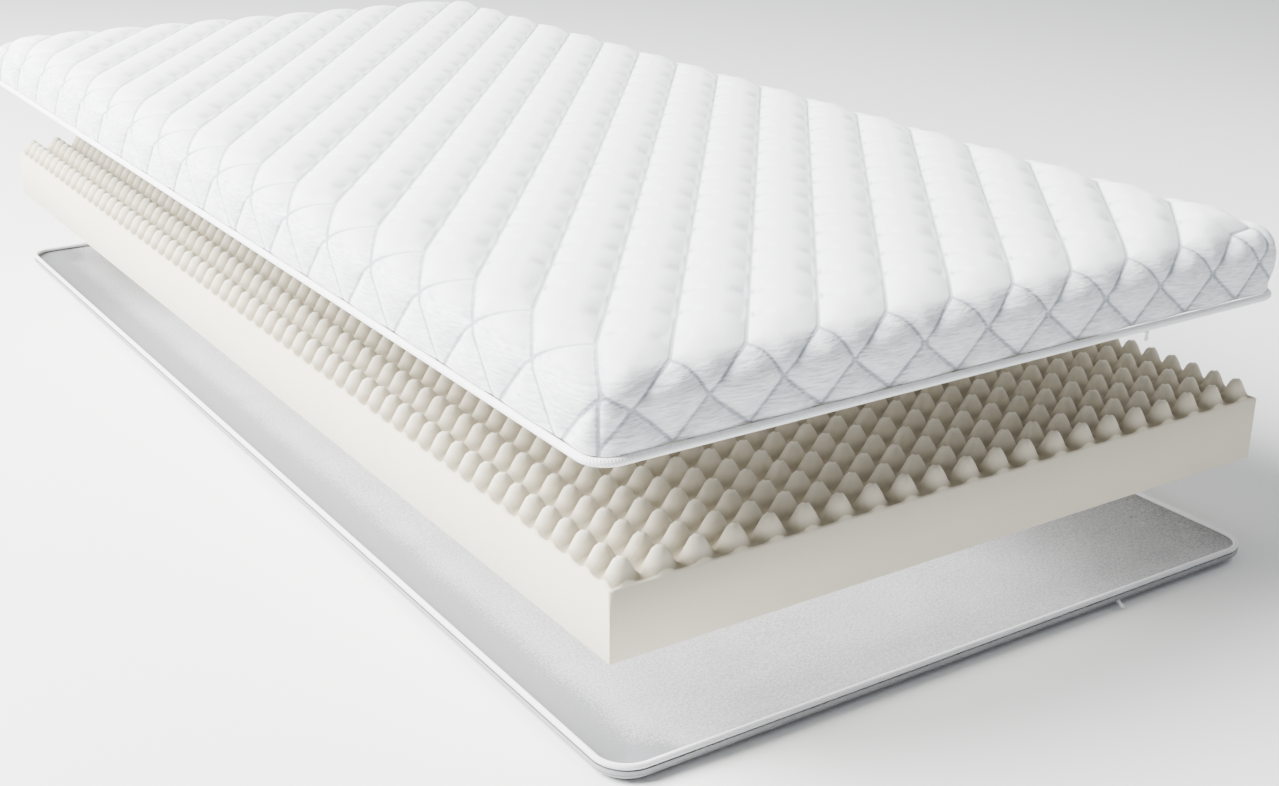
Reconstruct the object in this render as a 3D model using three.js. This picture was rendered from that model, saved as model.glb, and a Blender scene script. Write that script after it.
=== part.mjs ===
// A single mattress shown opened into its layers: a quilted cover with piping and a zip pull
// on top, a foam core with a peaked top face in the middle, and a bottom cloth with an upturned
// rim, its own piping and its own zip pull underneath.
// Millimetres, +Z up. X runs across the bed, Y along it, and the bottom cloth lies on z = 0.
import * as THREE from 'three';
import { toCreasedNormals } from 'three/addons/utils/BufferGeometryUtils.js';

// Driving dimensions: the foam core, which is the nominal size of the bed
const CORE = {
  width: 900,
  length: 2000,
  lift: 129,          // underside above the surface
  side: 78,           // height of the cut sides, which is the valleys' height too
  tip: 100,           // height of the peaks
  across: 21,         // peaks in a row across the bed
  along: 63,          // rows along the bed
  shift: [3, 1.5],    // where the layer was laid, off the common centre line
};

// The quilted cover: one quilted cloth, folded down over the edges and closed at its corners
const COVER = {
  width: 913,         // over the stitched grooves of the walls
  length: 2013,
  top: 411,           // groove level of the top panel, above the surface
  bottom: 337,        // lower edge of the walls
  edgeIn: [31, 15],   // the soft top edge: how far in it starts, from the long and the short walls
  edgeDown: 30,       // and how far down it ends
  corner: 26,         // radius of the upright corners
  smallCorner: 4,     // the least radius of a corner where the top edge has drawn it in
  puff: 7.5,          // height of the padding over the grooves
  profile: [0, 0.75, 1],    // the padding's height on a seam, a quarter and half a pitch from it
  hemPuff: 0.5,       // share of the padding left at the lower edge, where it is sewn flatter
  cornerPuff: 0.4,    // and on the upright corners
  across: 11,         // quilting pitches across the bed
  along: 18,          // quilting pitches along the bed
  clear: 6,           // cloth and padding between a groove and the inside
  shift: [-3, 10.5],
};

// The bottom cloth: a thin sheet with an upturned rim
const CLOTH = {
  width: 918,
  length: 2018,
  thick: 2.5,
  rim: 14,            // height of the rim and radius of its turn
  corner: 40,
  shift: [8, -4.5],
};

const COVER_PIPING = { width: 928, length: 2028, radius: 4.2, corner: 32 };
const CLOTH_PIPING = { width: 918, length: 2018, radius: 3.3, corner: 40 };

// The zip pulls: where they hang, and their sections as [distance down, half width, half thickness]
const PULL = {
  x: [243, 233],      // on the cover and on the bottom cloth
  sections: [
    [0, 2.4, 1.4],
    [3, 2.4, 1.4],
    [4, 1.7, 0.8],
    [8.5, 3.3, 0.8],
    [10.7, 2.4, 0.8],
    [11.5, 1.1, 0.8],
  ],
  start: [1.2, 7.5],  // the lower one starts this far in and this high on the rim
  lean: 60,           // and leans out by this angle
};

const SEAM_GAP = 0.3;         // air left between pieces that are sewn together
const QUARTERS = 4;           // columns of points in one quilting pitch
const CORNER_STEPS = 5;       // facets in a corner of a sheet or a piping
const SIDES = 8;              // facets round a piping
const CREASE = THREE.MathUtils.degToRad(50);    // a sharper edge than this is drawn sharp

const FINISH = {
  quilt: { color: 0xf3f5f8, roughness: 0.9, metalness: 0 },
  piping: { color: 0xeceef0, roughness: 0.8, metalness: 0 },
  foam: { color: 0xe3ddcf, roughness: 0.95, metalness: 0 },
  cloth: { color: 0xdfe0e2, roughness: 0.95, metalness: 0 },
  pull: { color: 0xd9dbde, roughness: 0.5, metalness: 0 },
};

// A closed surface built from loops of points
class Skin {
  constructor() {
    this.points = [];
    this.faces = [];
  }

  add(x, y, z) {
    this.points.push(x, y, z);
    return this.points.length / 3 - 1;
  }

  loop(list) {
    return list.map(([x, y, z]) => this.add(x, y, z));
  }

  face(a, b, c) {
    this.faces.push(a, b, c);
  }

  // a four-sided face, split along a-c or along b-d
  quad(a, b, c, d, splitBD = false) {
    if (splitBD) {
      this.face(a, b, d);
      this.face(b, c, d);
    } else {
      this.face(a, b, c);
      this.face(a, c, d);
    }
  }

  // joins two loops of equal length, the first of them below or outside the second
  band(lower, upper) {
    const count = lower.length;
    for (let i = 0; i < count; i += 1) {
      const j = (i + 1) % count;
      this.quad(lower[i], lower[j], upper[j], upper[i]);
    }
  }

  // how far round a rectangle a point of a loop is, from 0 at its first corner to 4
  wayRound(index, loop) {
    const point = (k) => [this.points[3 * k], this.points[3 * k + 1]];
    const reach = [0, 1].map((axis) => Math.max(...loop.map((k) => Math.abs(point(k)[axis]))));
    const [x, y] = point(index).map((value, axis) => value / reach[axis]);
    if (Math.abs(y) >= Math.abs(x)) return y < 0 ? (1 + x) / 2 : 2 + (1 - x) / 2;
    return x > 0 ? 1 + (1 + y) / 2 : 3 + (1 - y) / 2;
  }

  // joins two loops of unequal length in one plane, facing down when the first is the inner one
  bridge(inner, outer) {
    const way = (loop) => {
      const list = loop.map((index) => this.wayRound(index, loop));
      if (list[0] > 2) list[0] -= 4;
      return [...list, list[0] + 4];
    };
    const wayInner = way(inner);
    const wayOuter = way(outer);
    let i = 0;
    let j = 0;
    while (i < inner.length || j < outer.length) {
      const a = inner[i % inner.length];
      const b = outer[j % outer.length];
      if (j >= outer.length || (i < inner.length && wayInner[i + 1] <= wayOuter[j + 1])) {
        i += 1;
        this.face(a, inner[i % inner.length], b);
      } else {
        j += 1;
        this.face(a, outer[j % outer.length], b);
      }
    }
  }

  // closes a flat loop, up for a counter-clockwise one seen from above, down if turned
  cap(loop, down = false) {
    for (let i = 1; i + 1 < loop.length; i += 1) {
      if (down) this.face(loop[0], loop[i + 1], loop[i]);
      else this.face(loop[0], loop[i], loop[i + 1]);
    }
  }

  mesh(name, finish) {
    const geometry = new THREE.BufferGeometry();
    geometry.setAttribute('position', new THREE.Float32BufferAttribute(this.points, 3));
    geometry.setIndex(this.faces);
    const creased = toCreasedNormals(geometry, CREASE);
    const mesh = new THREE.Mesh(creased, new THREE.MeshStandardMaterial(finish));
    mesh.name = name;
    return mesh;
  }
}

// A rounded rectangle as points, counter-clockwise from the front left corner
function roundedRectangle(width, length, radius, z, steps = CORNER_STEPS) {
  const centres = [[-1, -1, 180], [1, -1, 270], [1, 1, 0], [-1, 1, 90]];
  const points = [];
  for (const [sx, sy, start] of centres) {
    for (let i = 0; i <= steps; i += 1) {
      const angle = THREE.MathUtils.degToRad(start + (90 * i) / steps);
      const x = sx * (width / 2 - radius) + radius * Math.cos(angle);
      const y = sy * (length / 2 - radius) + radius * Math.sin(angle);
      points.push([x, y, z]);
    }
  }
  return points;
}

function shifted(mesh, shift, z = 0) {
  mesh.position.set(shift[0], shift[1], z);
  return mesh;
}

// The foam core: flat underside and sides, and a four-sided peak on every cell of the top
function foamCore() {
  const skin = new Skin();
  const pitchX = CORE.width / CORE.across;
  const pitchY = CORE.length / CORE.along;
  const x = (i) => i * pitchX - CORE.width / 2;
  const y = (j) => j * pitchY - CORE.length / 2;
  const grid = [];
  for (let j = 0; j <= CORE.along; j += 1) {
    grid.push([]);
    for (let i = 0; i <= CORE.across; i += 1) grid[j].push(skin.add(x(i), y(j), CORE.side));
  }
  for (let j = 0; j < CORE.along; j += 1) {
    for (let i = 0; i < CORE.across; i += 1) {
      const tip = skin.add(x(i + 0.5), y(j + 0.5), CORE.tip);
      const rim = [grid[j][i], grid[j][i + 1], grid[j + 1][i + 1], grid[j + 1][i]];
      rim.forEach((corner, k) => skin.face(corner, rim[(k + 1) % 4], tip));
    }
  }
  const base = skin.loop([[0, 0], [1, 0], [1, 1], [0, 1]].map(
    ([u, v]) => [x(u * CORE.across), y(v * CORE.along), 0],
  ));
  skin.cap(base, true);
  const walls = [
    grid[0],
    grid.map((row) => row[CORE.across]),
    [...grid[CORE.along]].reverse(),
    grid.map((row) => row[0]).reverse(),
  ];
  walls.forEach((top, k) => {
    const left = base[k];
    const right = base[(k + 1) % 4];
    const middle = Math.floor(top.length / 2);
    for (let i = 0; i + 1 < top.length; i += 1) skin.face(i < middle ? left : right, top[i + 1], top[i]);
    skin.face(left, right, top[middle]);
  });
  return shifted(skin.mesh('foam_core', FINISH.foam), CORE.shift, CORE.lift);
}

// The walls of the cover, going round: columns of points, and the column where a full diamond hangs
function coverWalls() {
  const across = COVER.across * QUARTERS;
  const along = COVER.along * QUARTERS;
  return [
    { count: across, phase: 0, start: [-1, -1], step: [1, 0] },
    { count: along, phase: 3, start: [1, -1], step: [0, 1] },
    { count: across, phase: 1, start: [1, 1], step: [-1, 0] },
    { count: along, phase: 2, start: [-1, 1], step: [0, -1] },
  ];
}

// Height of the padding at a column and a row of the edge lattice, from 0 on a seam to 1
function latticePuff(column, row) {
  const turn = (value) => ((value % QUARTERS) + QUARTERS) % QUARTERS;
  const toSeam = (phase) => Math.min(phase, QUARTERS - phase);
  const channel = toSeam(turn(column + row));
  const counter = toSeam(turn(column - row));
  return COVER.profile[row === 0 ? channel : Math.min(channel, counter)];
}

// The section of the edge at a row: how far in from the two kinds of wall, how high, which way is out
function edgeSection(row) {
  const straight = COVER.top - COVER.edgeDown - COVER.bottom;
  const bend = (Math.PI / 2) * COVER.edgeDown;
  const height = ((straight + bend) * (QUARTERS - row)) / QUARTERS;
  const angle = (Math.max(height - straight, 0) / bend) * (Math.PI / 2);
  return {
    inward: COVER.edgeIn.map((edge) => edge * (1 - Math.cos(angle))),
    z: COVER.bottom + Math.min(height, straight) + COVER.edgeDown * Math.sin(angle),
    out: Math.cos(angle),
    up: Math.sin(angle),
  };
}

// Moves a point of the walls in from a sharp upright corner to a round one
function roundCorner(x, y, radius, halfWidth, halfLength) {
  const dx = Math.abs(x) - (halfWidth - radius);
  const dy = Math.abs(y) - (halfLength - radius);
  if (dx <= 0 || dy <= 0) return [x, y];
  const reach = Math.max(dx, dy) / Math.hypot(dx, dy);
  return [
    Math.sign(x) * (halfWidth - radius + dx * reach),
    Math.sign(y) * (halfLength - radius + dy * reach),
  ];
}

// Where a column stands along its wall, from -1 to 1, when the wall's corners are drawn in to a limit
function alongWall(column, count, limit) {
  const place = (k) => Math.max(-limit, Math.min(limit, (2 * k) / count - 1));
  const besideCorner = column === 1 || column === count - 1;
  return besideCorner ? (place(column - 1) + place(column + 1)) / 2 : place(column);
}

// One point of the quilted edge
function coverEdgePoint(wall, column, row) {
  const section = edgeSection(row);
  const left = (row === QUARTERS ? COVER.hemPuff : 1) * (column === 0 ? COVER.cornerPuff : 1);
  const puff = COVER.puff * latticePuff(column - wall.phase, row) * left;
  const full = [COVER.width / 2, COVER.length / 2];
  const half = full.map((reach, axis) => reach + puff * section.out - section.inward[axis]);
  const [x, y] = [0, 1].map((axis) => {
    if (wall.step[axis] === 0) return wall.start[axis] * half[axis];
    const share = alongWall(column, wall.count, half[axis] / full[axis]);
    return wall.step[axis] * share * full[axis];
  });
  const radius = Math.max(COVER.corner - section.inward[0], COVER.smallCorner);
  return [...roundCorner(x, y, radius, ...half), section.z + puff * section.up];
}

// The quilted outside of the cover's edge, as loops from the lower edge up to the top panel
function coverEdgeLoops(skin) {
  const loops = [];
  for (let row = QUARTERS; row >= 0; row -= 1) {
    const points = coverWalls().flatMap((wall) => Array.from(
      { length: wall.count },
      (_, column) => coverEdgePoint(wall, column, row),
    ));
    loops.push(skin.loop(points));
  }
  return loops;
}

// Joins the loops so that every stitched line of the lattice is an edge of the faces
function joinCoverEdge(skin, loops) {
  const total = loops[0].length;
  let first = 0;
  for (const wall of coverWalls()) {
    for (let column = 0; column < wall.count; column += 1) {
      const left = first + column;
      const right = (left + 1) % total;
      for (let k = 0; k < QUARTERS; k += 1) {
        const counterSeam = (column - wall.phase + k) % 2 !== 0;
        const [lower, upper] = [loops[k], loops[k + 1]];
        skin.quad(lower[left], lower[right], upper[right], upper[left], counterSeam);
      }
    }
    first += wall.count;
  }
}

// The top panel: straight strips beside the channels, between points of the uppermost loop.
// A channel from point m of the left wall ends across - 3 points further along the right one, which
// is what is left of its rise once both edges have taken their part. Four small caps fill the corners.
function joinCoverTop(skin, loop) {
  const across = COVER.across * QUARTERS;
  const along = COVER.along * QUARTERS;
  const front = (i) => loop[i];
  const right = (j) => loop[across + j];
  const back = (i) => loop[2 * across + along - i];
  const left = (j) => loop[(2 * across + 2 * along - j) % loop.length];
  const rise = across - 3;
  const start = (m) => (m > 0 ? left(m) : front(2 - m));
  const end = (m) => (m + rise < along ? right(m + rise) : back(along + 1 - m));
  for (let m = 1 - rise; m < along - 1; m += 1) skin.quad(start(m), end(m), end(m + 1), start(m + 1));
  skin.cap([left(1), front(0), front(1), front(2)]);
  skin.cap([front(across - 2), front(across - 1), right(0), right(1)]);
  skin.cap([right(along - 1), right(along), back(across - 1), back(across - 2)]);
  skin.cap([back(2), back(1), back(0), left(along - 1)]);
}

// The cover as one hollow solid, open below
function quiltedCover() {
  const skin = new Skin();
  const loops = coverEdgeLoops(skin);
  joinCoverEdge(skin, loops);
  joinCoverTop(skin, loops[QUARTERS]);
  const width = COVER.width - 2 * COVER.clear;
  const length = COVER.length - 2 * COVER.clear;
  const bendDown = COVER.edgeDown - COVER.clear;
  const bends = [0, 45, 90].map(THREE.MathUtils.degToRad).map((angle) => [
    1 - Math.cos(angle),
    COVER.top - COVER.edgeDown + bendDown * Math.sin(angle),
  ]);
  const inside = [[0, COVER.bottom], ...bends].map(([share, z]) => {
    const [inX, inY] = COVER.edgeIn.map((edge) => share * (edge - COVER.clear));
    const radius = Math.max(COVER.corner - COVER.clear - inX, COVER.smallCorner);
    return skin.loop(roundedRectangle(width - 2 * inX, length - 2 * inY, radius, z, 2));
  });
  for (let k = 0; k + 1 < inside.length; k += 1) skin.band(inside[k + 1], inside[k]);
  skin.cap(inside[inside.length - 1], true);
  skin.bridge(inside[0], loops[0]);
  return shifted(skin.mesh('quilted_cover', FINISH.quilt), COVER.shift);
}

// A piping: a cord of eight-sided section on a rounded rectangle, closed on itself
function piping(name, size, z, shift) {
  const skin = new Skin();
  const toCorner = size.radius / Math.cos(Math.PI / SIDES);
  const rings = Array.from({ length: SIDES }, (_, k) => {
    const angle = ((2 * k + 1) / SIDES) * Math.PI;
    const inward = size.radius - toCorner * Math.cos(angle);
    const [width, length] = [size.width - 2 * inward, size.length - 2 * inward];
    return skin.loop(roundedRectangle(width, length, size.corner - inward, toCorner * Math.sin(angle)));
  });
  rings.forEach((ring, k) => skin.band(ring, rings[(k + 1) % SIDES]));
  return shifted(skin.mesh(name, FINISH.piping), shift, z);
}

// The bottom cloth: a flat sheet that turns up at its rim
function bottomCloth() {
  const skin = new Skin();
  const turns = [0, 30, 60, 90].map(THREE.MathUtils.degToRad);
  const section = (radius) => turns.map((angle) => [
    CLOTH.rim - radius * Math.sin(angle),
    CLOTH.rim - radius * Math.cos(angle),
  ]);
  const loopsOf = (radius) => section(radius).map(([inset, z]) => skin.loop(roundedRectangle(
    CLOTH.width - 2 * inset,
    CLOTH.length - 2 * inset,
    CLOTH.corner - inset,
    z,
  )));
  const outside = loopsOf(CLOTH.rim);
  const inside = loopsOf(CLOTH.rim - CLOTH.thick);
  skin.cap(outside[0], true);
  skin.cap(inside[0]);
  for (let k = 0; k + 1 < turns.length; k += 1) {
    skin.band(outside[k], outside[k + 1]);
    skin.band(inside[k + 1], inside[k]);
  }
  skin.band(outside[turns.length - 1], inside[turns.length - 1]);
  return shifted(skin.mesh('bottom_cloth', FINISH.cloth), CLOTH.shift);
}

// A zip pull: a slider and a flat tab in one, hanging from a place or leaning out from it
function zipPull(name, place, lean = 0) {
  const skin = new Skin();
  const loops = PULL.sections.map(([down, half, thick]) => skin.loop(
    [[-half, -thick], [half, -thick], [half, thick], [-half, thick]].map(([x, y]) => [x, y, -down]),
  ));
  loops.slice(1).forEach((loop, k) => skin.band(loop, loops[k]));
  skin.cap(loops[0]);
  skin.cap(loops[loops.length - 1], true);
  const mesh = skin.mesh(name, FINISH.pull);
  mesh.rotation.x = -THREE.MathUtils.degToRad(lean);
  mesh.position.set(...place);
  return mesh;
}

const coverPipingZ = COVER.bottom - SEAM_GAP - COVER_PIPING.radius;
const clothPipingZ = CLOTH.rim + SEAM_GAP + CLOTH_PIPING.radius;
const coverPullPlace = [
  PULL.x[0],
  COVER.shift[1] + COVER_PIPING.radius - COVER_PIPING.length / 2,
  coverPipingZ - COVER_PIPING.radius - SEAM_GAP,
];
const clothPullPlace = [
  PULL.x[1],
  CLOTH.shift[1] + PULL.start[0] - CLOTH.length / 2,
  PULL.start[1],
];

const mattress = new THREE.Group();
mattress.add(foamCore());
mattress.add(quiltedCover());
mattress.add(piping('cover_piping', COVER_PIPING, coverPipingZ, COVER.shift));
mattress.add(zipPull('cover_zip_pull', coverPullPlace));
mattress.add(bottomCloth());
mattress.add(piping('cloth_piping', CLOTH_PIPING, clothPipingZ, CLOTH.shift));
mattress.add(zipPull('cloth_zip_pull', clothPullPlace, PULL.lean));

export default mattress;
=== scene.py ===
"""A single mattress shown opened: quilted cover above, peaked foam core in the middle and a thin
bottom cloth with a turned-up rim below. Metres, +Z up, X across the bed, Y along it."""

from math import cos, pi, radians, sin, tau

import bpy
import numpy as np
from mathutils import Matrix, Vector


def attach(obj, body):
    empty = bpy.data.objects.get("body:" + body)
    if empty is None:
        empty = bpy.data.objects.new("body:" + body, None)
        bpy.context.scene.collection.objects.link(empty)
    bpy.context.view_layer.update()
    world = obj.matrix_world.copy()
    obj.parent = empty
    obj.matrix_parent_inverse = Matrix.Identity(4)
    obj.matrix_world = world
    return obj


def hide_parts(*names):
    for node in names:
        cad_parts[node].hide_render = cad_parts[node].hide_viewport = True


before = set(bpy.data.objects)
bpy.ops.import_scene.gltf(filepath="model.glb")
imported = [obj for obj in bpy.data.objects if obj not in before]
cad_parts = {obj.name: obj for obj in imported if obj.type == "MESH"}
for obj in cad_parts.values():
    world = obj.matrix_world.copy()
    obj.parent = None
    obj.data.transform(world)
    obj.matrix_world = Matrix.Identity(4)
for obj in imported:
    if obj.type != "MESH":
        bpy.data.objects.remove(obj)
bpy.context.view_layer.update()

MM = 0.001
FAR = 50 * MM      # a pattern distance at which nothing of a seam or welt shows any more

# ---------------------------------------------------------------- camera

# worked out from the photo's perspective: the place in metres, the sensor and lens in millimetres
EYE = Vector((-1.1821, -2.1561, 0.9353))
YAW, PITCH, ROLL = radians(56.514), radians(21.357), radians(0.488)
SENSOR, LENS = 36.0, 48.04
VIEW_END = 50.0


def add_camera():
    """The camera looks along the yaw and pitch, turned about its own axis by the roll."""
    ahead = Vector((cos(YAW) * cos(PITCH), sin(YAW) * cos(PITCH), -sin(PITCH)))
    level = Vector((sin(YAW), -cos(YAW), 0.0))
    above = level.cross(ahead)
    right = cos(ROLL) * level + sin(ROLL) * above
    up = -sin(ROLL) * level + cos(ROLL) * above
    data = bpy.data.cameras.new("camera")
    data.sensor_fit = "HORIZONTAL"
    data.sensor_width = SENSOR
    data.lens = LENS
    data.clip_end = VIEW_END
    camera = bpy.data.objects.new("camera", data)
    turn = Matrix((right, up, -ahead)).transposed().to_4x4()
    camera.matrix_world = Matrix.Translation(EYE) @ turn
    bpy.context.scene.collection.objects.link(camera)
    bpy.context.scene.camera = camera


add_camera()


# ---------------------------------------------------------------- surfaces from arrays

class Surface:
    """One piece, put together from grids of points. Each grid keeps its own pattern coordinates."""

    def __init__(self):
        self.points, self.faces, self.pattern, self.total = [], [], [], 0

    def add(self, points):
        """Adds an array of points and returns their numbers in the same layout."""
        points = np.asarray(points, float)
        flat = points.reshape(-1, 3)
        numbers = np.arange(self.total, self.total + len(flat)).reshape(points.shape[:-1])
        self.points.append(flat)
        self.total += len(flat)
        return numbers

    def quads(self, index, pattern=None, out=True, turn=None):
        """Joins a grid of point numbers into four-sided faces. Rows run upwards and columns to the
        right as seen from outside; out=False turns the faces round. Where turn is set, the face is
        later split along its other diagonal."""
        def corners(grid):
            ring = [grid[:-1, :-1], grid[:-1, 1:], grid[1:, 1:], grid[1:, :-1]]
            ring = np.stack(ring if out else ring[::-1], axis=2)
            if turn is not None:
                ring[turn] = np.roll(ring[turn], 1, axis=1)
            return ring.reshape(-1, 4, *grid.shape[2:])

        self.faces.append(corners(index))
        if pattern is None:
            pattern = np.zeros((*index.shape, 2))
        self.pattern.append(corners(pattern))

    def fan(self, ring, pattern=None, out=True):
        """Closes a loop of point numbers with triangles from its first point."""
        ring = np.asarray(ring)
        second, third = (ring[1:-1], ring[2:]) if out else (ring[2:], ring[1:-1])
        first = np.full(len(second), ring[0])
        self.faces.append(np.stack([first, second, third, third], axis=1))
        uv = np.zeros((len(ring), 2)) if pattern is None else np.asarray(pattern)
        pair = (uv[1:-1], uv[2:]) if out else (uv[2:], uv[1:-1])
        start = np.broadcast_to(uv[0], pair[0].shape)
        self.pattern.append(np.stack([start, *pair, pair[1]], axis=1))

    def finish(self, name, material, smooth):
        """Welds points that coincide, drops what collapses, and makes the object. Edges up to the
        angle smooth, in degrees, are shaded as one surface."""
        points = np.concatenate(self.points)
        faces = np.concatenate(self.faces)
        pattern = np.concatenate(self.pattern)
        _, keep, number = np.unique(
            np.round(points, 6), axis=0, return_index=True, return_inverse=True
        )
        faces = number.reshape(-1)[faces]
        points = points[keep]
        halves = np.concatenate([faces[:, [0, 1, 2]], faces[:, [0, 2, 3]]])
        marks = np.concatenate([pattern[:, [0, 1, 2]], pattern[:, [0, 2, 3]]])
        whole = (
            (halves[:, 0] != halves[:, 1])
            & (halves[:, 1] != halves[:, 2])
            & (halves[:, 2] != halves[:, 0])
        )
        halves, marks = halves[whole], marks[whole]
        mesh = bpy.data.meshes.new(name)
        mesh.vertices.add(len(points))
        mesh.vertices.foreach_set("co", points.astype(np.float32).ravel())
        mesh.loops.add(halves.size)
        mesh.loops.foreach_set("vertex_index", halves.astype(np.int32).ravel())
        mesh.polygons.add(len(halves))
        mesh.polygons.foreach_set("loop_start", np.arange(0, halves.size, 3, dtype=np.int32))
        layer = mesh.uv_layers.new(name="pattern")
        layer.uv.foreach_set("vector", marks.astype(np.float32).ravel())
        mesh.update(calc_edges=True)
        mesh.validate()
        mesh.polygons.foreach_set("use_smooth", np.ones(len(mesh.polygons), bool))
        mesh.set_sharp_from_angle(angle=radians(smooth))
        mesh.materials.append(material)
        piece = bpy.data.objects.new(name, mesh)
        bpy.context.scene.collection.objects.link(piece)
        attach(piece, "root")
        return piece


def wrapped(grid):
    """Repeats the first column at the end, so that a surface closes on itself."""
    return np.concatenate([grid, grid[:, :1]], axis=1)


def rounded_rectangle(half_x, half_y, radius, straight_x, straight_y, turns):
    """Points on a rectangle with quarter circles of the radius at its corners, walked from the
    front left corner towards +X. Straight parts and corners are divided evenly into the numbers
    given. Returns the points and the outward directions, and the distance walked."""
    points, outward = [], []
    corners = [(-1, -1, 180, straight_x), (1, -1, 270, straight_y), (1, 1, 0, straight_x),
               (-1, 1, 90, straight_y)]
    for k, (sx, sy, start, straight) in enumerate(corners):
        angle = np.radians(start + np.linspace(0, 90, turns + 1))
        way = np.stack([np.cos(angle), np.sin(angle)], axis=1)
        centre = np.array([sx * (half_x - radius), sy * (half_y - radius)])
        arc = centre + radius * way
        nx, ny = corners[(k + 1) % 4][:2]
        next_centre = np.array([nx * (half_x - radius), ny * (half_y - radius)])
        following = next_centre + radius * way[-1]
        share = np.linspace(0, 1, straight + 1)[1:-1, None]
        points += [arc, arc[-1] + share * (following - arc[-1])]
        outward += [way, np.repeat(way[-1:], len(share), axis=0)]
    points, outward = np.concatenate(points), np.concatenate(outward)
    steps = np.linalg.norm(np.roll(points, -1, axis=0) - points, axis=1)
    return points, outward, np.concatenate([[0], np.cumsum(steps)])


# ---------------------------------------------------------------- materials

class Wire:
    """One number in a material. Arithmetic on it adds Math nodes."""

    def __init__(self, shop, socket):
        self.shop, self.socket = shop, socket

    def math(self, operation, *values):
        inputs = dict(enumerate(values))
        return self.shop.node("ShaderNodeMath", {"operation": operation}, inputs)[0]

    def __add__(self, other):
        return self.math("ADD", self, other)

    def __sub__(self, other):
        return self.math("SUBTRACT", self, other)

    def __rsub__(self, other):
        return self.math("SUBTRACT", other, self)

    def __mul__(self, other):
        return self.math("MULTIPLY", self, other)

    def __pow__(self, other):
        return self.math("POWER", self, other)

    def sine(self):
        return self.math("SINE", self)

    def absolute(self):
        return self.math("ABSOLUTE", self)

    def swing(self):
        """A wave between 0 and 1."""
        return self.sine() * 0.5 + 0.5

    def held(self):
        """Held between 0 and 1."""
        return self.math("MINIMUM", self.math("MAXIMUM", self, 0.0), 1.0)

    def between(self, low, high):
        """0 below the low value, 1 above the high one, and smooth between them."""
        return self.shop.node(
            "ShaderNodeMapRange",
            {"interpolation_type": "SMOOTHSTEP"},
            {"Value": self, "From Min": low, "From Max": high},
        )[0]

    def fading(self, low, high):
        """1 below the low value, 0 above the high one, and smooth between them."""
        return 1.0 - self.between(low, high)


class Shop:
    """Makes one material: node() adds a node, sets it up and wires it."""

    def __init__(self, name):
        self.material = bpy.data.materials.new(name)
        self.material.use_nodes = True
        self.tree = self.material.node_tree
        self.tree.nodes.clear()

    def node(self, kind, settings=None, values=None):
        """Settings come first, because they change the sockets. Returns the outputs as wires."""
        node = self.tree.nodes.new(kind)
        for key, value in (settings or {}).items():
            setattr(node, key, value)
        for key, value in (values or {}).items():
            socket = node.inputs[key]
            if isinstance(value, Wire):
                self.tree.links.new(value.socket, socket)
            else:
                socket.default_value = value
        return [Wire(self, socket) for socket in node.outputs]

    def point(self):
        """The point on the piece, in metres: the node's fourth output, Object."""
        return self.node("ShaderNodeTexCoord")[3]

    def place(self):
        """The point's X, Y and Z."""
        return self.node("ShaderNodeSeparateXYZ", None, {0: self.point()})[:3]

    def pattern(self):
        """The piece's own two pattern coordinates."""
        point = self.node("ShaderNodeUVMap", {"uv_map": "pattern"})[0]
        return self.node("ShaderNodeSeparateXYZ", None, {0: point})[:2]

    def noise(self, scale, detail=2.0, rough=0.5, vector=None):
        vector = self.point() if vector is None else vector
        return self.node(
            "ShaderNodeTexNoise", None,
            {"Vector": vector, "Scale": scale, "Detail": detail, "Roughness": rough},
        )[0]

    def stretched(self, x, y, z):
        """The point on the piece with each direction scaled by its own amount."""
        return self.node(
            "ShaderNodeMapping", {"vector_type": "POINT"},
            {"Vector": self.point(), "Scale": (x, y, z)},
        )[0]

    def mix(self, share, first, second):
        """Two colours mixed by a share. On a colour mix, inputs 6 and 7 and output 2 are the
        colours."""
        return self.node("ShaderNodeMix", {"data_type": "RGBA"}, {0: share, 6: first, 7: second})[2]

    def cloth(self, colour, rough, height, depth, sheen=0.0):
        """A matt surface with its colour, roughness and raised pattern."""
        bump = self.node(
            "ShaderNodeBump", None, {"Strength": 1.0, "Distance": depth, "Height": height}
        )[0]
        shader = self.node(
            "ShaderNodeBsdfPrincipled", None,
            {"Base Color": colour, "Roughness": rough, "Normal": bump, "Sheen Weight": sheen,
             "Specular IOR Level": 0.25},
        )[0]
        self.node("ShaderNodeOutputMaterial", None, {"Surface": shader})
        return self.material


def colour(red, green, blue):
    return (red, green, blue, 1.0)


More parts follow.
